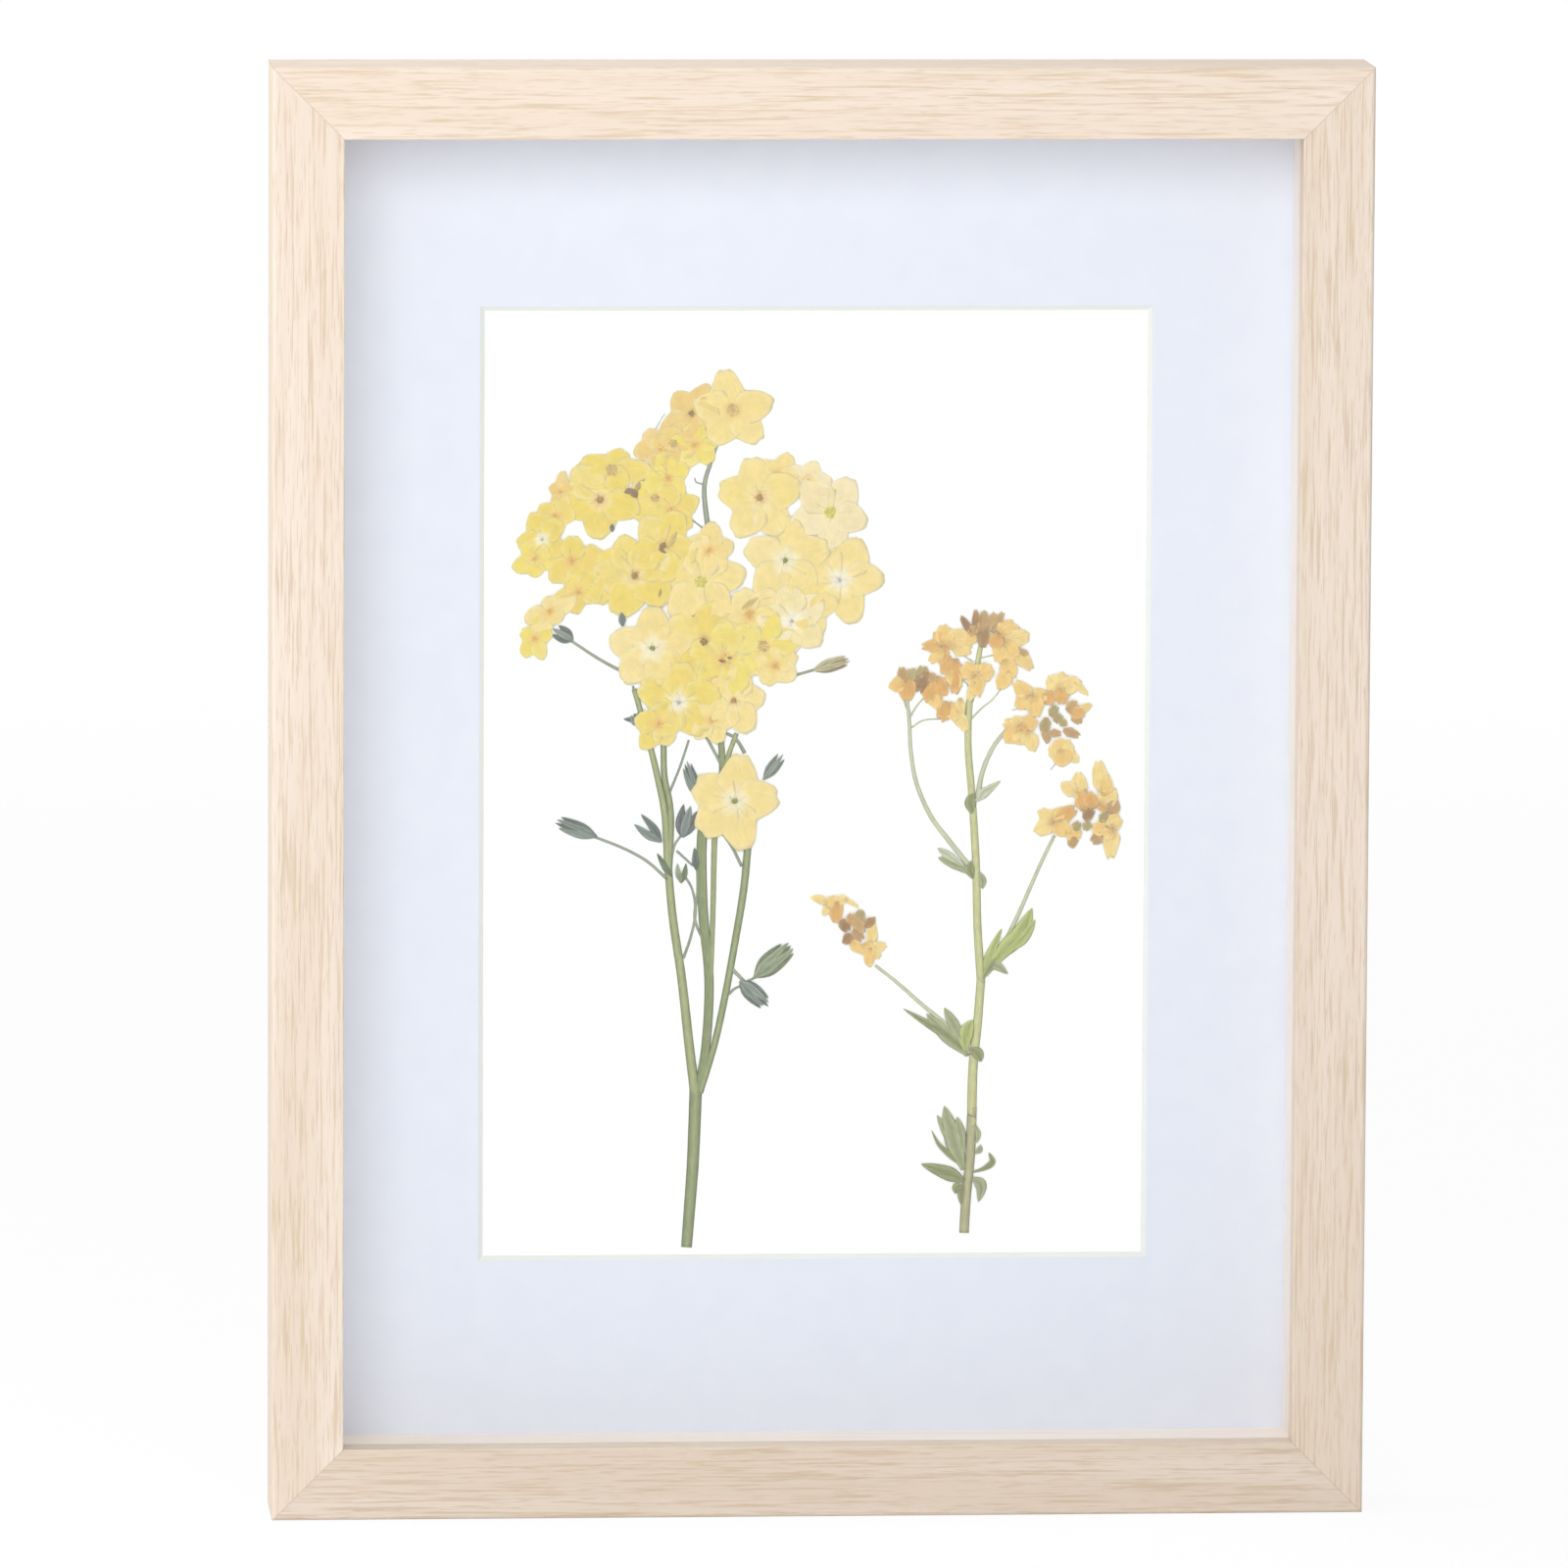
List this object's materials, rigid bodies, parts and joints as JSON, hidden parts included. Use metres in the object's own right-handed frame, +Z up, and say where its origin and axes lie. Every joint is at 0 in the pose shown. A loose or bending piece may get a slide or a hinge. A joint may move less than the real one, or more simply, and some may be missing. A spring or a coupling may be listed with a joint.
{
  "type": "box picture frame",
  "caption": "Deep box frame of pale mitred wood with a bevelled mat, pressed flower sprigs on white card, and hangers and turn buttons on the back.",
  "frame": {"origin": "centre of the whole object's footprint at the underside of the bottom rail", "axes": "+Z up, +X to the viewer's right, +Y from the front face towards the wall"},
  "size_m": [0.33, 0.0406, 0.438],
  "materials": {
    "rail_wood": "pale straight-grained ash or oak, matt oiled",
    "spacer_wood": "pale planed wood, matt",
    "glazing": "clear, low reflection",
    "mat": "matt white mat board with a cream core",
    "card": "smooth white card",
    "backing": "brown medium-density fibreboard",
    "steel": "bare steel",
    "zinc": "zinc plated, satin",
    "rubber": "matt black rubber",
    "left_stems": "dried grey-green stem",
    "left_buds": "dried grey-green bud",
    "left_petals": "dried pale yellow petals",
    "right_stems": "dried yellow-green stem",
    "right_leaves": "dried green leaves",
    "right_petals": "dried orange-yellow petals"
  },
  "bodies": {
    "frame": {"rail_bottom": "rail_wood", "rail_top": "rail_wood", "rail_left": "rail_wood", "rail_right": "rail_wood", "spacer_bottom": "spacer_wood", "spacer_top": "spacer_wood", "spacer_left": "spacer_wood", "spacer_right": "spacer_wood", "glazing": "glazing", "mat_board": "mat", "mount_card": "card", "backing_board": "backing", "corner_v_nails": "steel", "button_screws": "zinc", "hanger_screws": "zinc", "hanger_strap_left": "zinc", "hanger_strap_right": "zinc", "wall_bumpers": "rubber", "left_sprig_stems": "left_stems", "left_sprig_buds": "left_buds", "left_sprig_blooms": "left_petals", "right_sprig_stems": "right_stems", "right_sprig_leaves": "right_leaves", "right_sprig_blooms": "right_petals"},
    "turn_button_left_low": {"turn_button_left_low": "zinc"},
    "turn_button_left_high": {"turn_button_left_high": "zinc"},
    "turn_button_right_low": {"turn_button_right_low": "zinc"},
    "turn_button_right_high": {"turn_button_right_high": "zinc"},
    "turn_button_bottom": {"turn_button_bottom": "zinc"},
    "turn_button_top": {"turn_button_top": "zinc"},
    "d_ring_left": {"d_ring_left": "zinc"},
    "d_ring_right": {"d_ring_right": "zinc"}
  },
  "joints": [
    {"name": "turn_button_left_low_spin", "type": "hinge", "parent": "frame", "child": "turn_button_left_low", "pos_m": [-0.1575, 0.01595, 0.095], "axis": [0, 1, 0], "continuous": true},
    {"name": "turn_button_left_high_spin", "type": "hinge", "parent": "frame", "child": "turn_button_left_high", "pos_m": [-0.1575, 0.01595, 0.343], "axis": [0, 1, 0], "continuous": true},
    {"name": "turn_button_right_low_spin", "type": "hinge", "parent": "frame", "child": "turn_button_right_low", "pos_m": [0.1575, 0.01595, 0.095], "axis": [0, 1, 0], "continuous": true},
    {"name": "turn_button_right_high_spin", "type": "hinge", "parent": "frame", "child": "turn_button_right_high", "pos_m": [0.1575, 0.01595, 0.343], "axis": [0, 1, 0], "continuous": true},
    {"name": "turn_button_bottom_spin", "type": "hinge", "parent": "frame", "child": "turn_button_bottom", "pos_m": [0, 0.01595, 0.0075], "axis": [0, 1, 0], "continuous": true},
    {"name": "turn_button_top_spin", "type": "hinge", "parent": "frame", "child": "turn_button_top", "pos_m": [0, 0.01595, 0.4305], "axis": [0, 1, 0], "continuous": true},
    {"name": "d_ring_left_swing", "type": "hinge", "parent": "frame", "child": "d_ring_left", "pos_m": [-0.1575, 0.01755, 0.303], "axis": [1, 0, 0], "range_deg": [0, 180]},
    {"name": "d_ring_right_swing", "type": "hinge", "parent": "frame", "child": "d_ring_right", "pos_m": [0.1575, 0.01755, 0.303], "axis": [1, 0, 0], "range_deg": [0, 180]}
  ]
}
